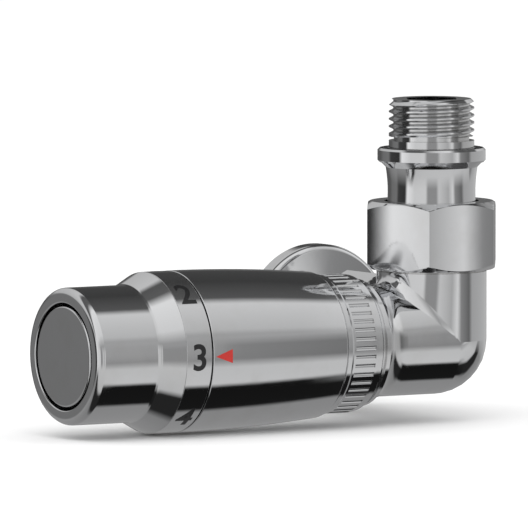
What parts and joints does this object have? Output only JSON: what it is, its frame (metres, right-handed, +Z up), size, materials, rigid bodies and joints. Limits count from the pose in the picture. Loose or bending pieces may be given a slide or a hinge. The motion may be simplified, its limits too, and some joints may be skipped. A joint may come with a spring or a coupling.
{
  "type": "thermostatic radiator valve",
  "caption": "Chrome corner thermostatic radiator valve with a turning control head, spring-loaded stem and disc, union tail, compression nut and sliding wall rosette.",
  "frame": {"origin": "centre of the tail's flange face, where it meets the underside of the radiator", "axes": "+Z up along the tail into the radiator, +X along the radiator away from the control head, +Y to the wall along the supply pipe"},
  "size_m": [0.1258, 0.0748, 0.079],
  "materials": {
    "chrome": "polished chrome plating, clear reflections, faint fingerprints",
    "raw_brass": "turned brass, fine tool marks",
    "stainless": "drawn stainless wire and bar",
    "black_rubber": "moulded EPDM, matte",
    "fibre_gasket": "compressed fibre, matte",
    "dark_plastic": "moulded glass-filled plastic, fine texture",
    "grey_plastic": "moulded plastic, satin",
    "white_plastic": "moulded acetal, slight gloss",
    "sensor_can": "deep-drawn aluminium, satin",
    "red_marker": "gloss enamel"
  },
  "bodies": {
    "root": {"valve_body": "chrome", "union_nut": "chrome", "radiator_tail": "chrome", "tail_o_ring": "black_rubber", "tail_gasket": "fibre_gasket", "compression_nut": "chrome", "olive": "raw_brass", "pipe_sleeve": "chrome", "insert_housing": "raw_brass", "insert_o_ring": "black_rubber", "guide_bush": "raw_brass", "gland_o_ring": "black_rubber", "gland_nut": "raw_brass", "head_base": "dark_plastic", "head_union_ring": "chrome", "union_clip": "stainless", "barrel_shell": "chrome", "index_marker": "red_marker", "return_spring": "stainless"},
    "rosette": {"wall_rosette": "chrome", "rosette_o_ring": "black_rubber"},
    "handwheel": {"thread_drum": "dark_plastic", "dial_ring": "chrome", "knob_shell": "chrome", "end_cap": "chrome"},
    "sensor": {"sensor_carrier": "grey_plastic", "capsule_can": "sensor_can", "capsule_lid": "sensor_can", "bellows": "raw_brass", "overload_spring": "stainless", "spring_cap": "grey_plastic"},
    "stem": {"sensor_plunger": "white_plastic", "valve_stem": "stainless", "stem_collar": "raw_brass", "stem_circlip": "stainless", "disc_holder": "raw_brass", "valve_disc": "black_rubber"}
  },
  "joints": [
    {"name": "handwheel_turn", "type": "hinge", "parent": "root", "child": "handwheel", "pos_m": [0, 0, -0.047], "axis": [1, 0, 0], "range_deg": [-100, 150]},
    {"name": "sensor_travel", "type": "slide", "parent": "root", "child": "sensor", "axis": [1, 0, 0], "range_m": [-0.00085, 0.00127]},
    {"name": "thermal_stroke", "type": "slide", "parent": "sensor", "child": "stem", "axis": [1, 0, 0], "range_m": [-0.0004, 0.0004], "deforming": ["return_spring", "bellows"]},
    {"name": "rosette_slide", "type": "slide", "parent": "root", "child": "rosette", "axis": [0, 1, 0], "range_m": [-0.008, 0]}
  ],
  "couplings": [
    {"joint": "sensor_travel", "follows": "handwheel_turn", "m_per_rad": 0.00047746}
  ]
}
